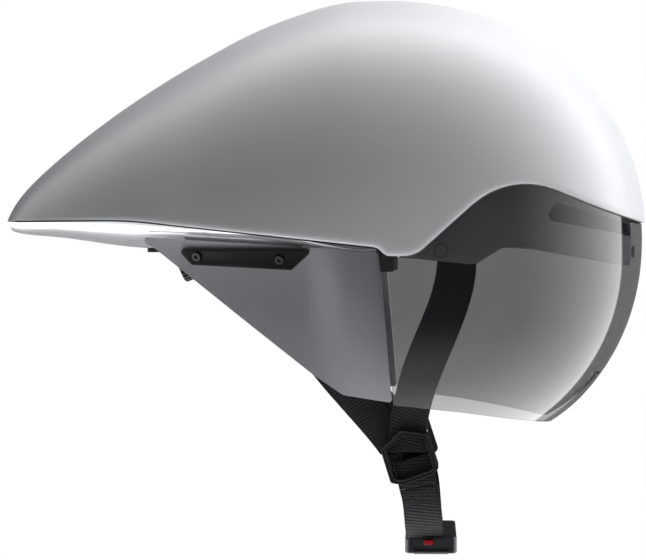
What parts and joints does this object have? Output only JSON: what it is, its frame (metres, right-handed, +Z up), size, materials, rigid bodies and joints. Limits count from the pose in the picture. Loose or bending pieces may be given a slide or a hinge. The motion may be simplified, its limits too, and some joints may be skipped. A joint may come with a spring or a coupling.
{
  "type": "aero time trial helmet",
  "caption": "Teardrop time trial cycling helmet with a smoke wraparound lens, ear panels, a dial fit cradle and a webbing chin strap with a magnetic buckle.",
  "frame": {"origin": "centre of the head's oval at the level of the rim, where a head form's middle sits", "axes": "+X the way the rider looks, +Y to the rider's left, +Z up to the crown"},
  "size_m": [0.3191, 0.208, 0.2749],
  "materials": {
    "shell_gloss": "clear-coated polycarbonate skin, pale silver grey",
    "brow_black": "satin black polycarbonate skin",
    "lower_silver": "silver painted polycarbonate skin",
    "foam_black": "expanded polystyrene foam with a fine bead texture",
    "lens_smoke": "smoke tinted polycarbonate lens with a hard coat",
    "magnet_steel": "nickel-plated magnets",
    "panel_grey": "satin grey flexible polyurethane",
    "plastic_black": "moulded black nylon",
    "screw_steel": "zinc-plated socket screws",
    "insert_brass": "turned brass",
    "pad_fabric": "brushed knit over open-cell foam",
    "rubber_black": "moulded rubber",
    "webbing": "woven polyester webbing",
    "tab_red": "moulded red acetal",
    "cradle_black": "moulded flexible nylon",
    "gear_white": "moulded acetal"
  },
  "bodies": {
    "helmet": {"outer_shell": "shell_gloss", "brow_shell": "brow_black", "lower_shell": "lower_silver", "liner": "foam_black", "brow_magnets": "magnet_steel", "wing_panel_right": "panel_grey", "wing_panel_left": "panel_grey", "bracket_plate_right": "plastic_black", "bracket_plate_left": "plastic_black", "panel_screws": "screw_steel", "screw_inserts": "insert_brass", "brow_pad": "pad_fabric", "crown_pad": "pad_fabric", "side_pad_right": "pad_fabric", "side_pad_left": "pad_fabric", "rear_pad": "pad_fabric", "rear_bumper": "rubber_black", "front_strap_right": "webbing", "front_strap_left": "webbing", "rear_strap_right": "webbing", "rear_strap_left": "webbing", "strap_loop_right": "webbing", "strap_loop_left": "webbing", "strap_plugs": "plastic_black", "divider_right": "plastic_black", "divider_left": "plastic_black", "lower_strap_right": "webbing", "buckle_body": "plastic_black", "body_magnet": "magnet_steel", "band_right": "cradle_black", "band_left": "cradle_black", "band_pins": "plastic_black"},
    "lens": {"lens": "lens_smoke", "lens_magnets": "magnet_steel"},
    "cradle": {"cradle": "cradle_black", "dial_housing": "plastic_black", "nape_pads": "pad_fabric"},
    "dial": {"dial_knob": "rubber_black", "pinion": "gear_white"},
    "rack_left": {"rack_left": "gear_white"},
    "rack_right": {"rack_right": "gear_white"},
    "chin_strap": {"lower_strap_left": "webbing", "buckle_clip": "plastic_black", "clip_magnet": "magnet_steel"},
    "tab": {"release_tab": "tab_red"}
  },
  "joints": [
    {"name": "lens_pull", "type": "slide", "parent": "helmet", "child": "lens", "axis": [0.7071, 0, -0.7071], "range_m": [0, 0.08]},
    {"name": "cradle_reach", "type": "slide", "parent": "helmet", "child": "cradle", "axis": [1, 0, 0], "range_m": [0, 0.012]},
    {"name": "dial_turn", "type": "hinge", "parent": "cradle", "child": "dial", "pos_m": [-0.104, 0, -0.0042], "axis": [-0.9304, 0, -0.3665], "range_deg": [0, 171.9]},
    {"name": "rack_left_slide", "type": "slide", "parent": "cradle", "child": "rack_left", "axis": [0, -1, 0], "range_m": [0, 0.012]},
    {"name": "rack_right_slide", "type": "slide", "parent": "cradle", "child": "rack_right", "axis": [0, 1, 0], "range_m": [0, 0.012]},
    {"name": "chin_strap_swing", "type": "hinge", "parent": "helmet", "child": "chin_strap", "pos_m": [0.0091, 0.0594, -0.1129], "axis": [1, 0, 0], "range_deg": [0, 70]},
    {"name": "tab_press", "type": "slide", "parent": "helmet", "child": "tab", "axis": [0, 1, 0], "range_m": [0, 0.001], "stiffness_N_per_m": 200}
  ],
  "couplings": [
    {"joint": "dial_turn", "follows": "cradle_reach", "rad_per_m": 250},
    {"joint": "rack_left_slide", "follows": "cradle_reach", "ratio": 1},
    {"joint": "rack_right_slide", "follows": "cradle_reach", "ratio": 1}
  ]
}
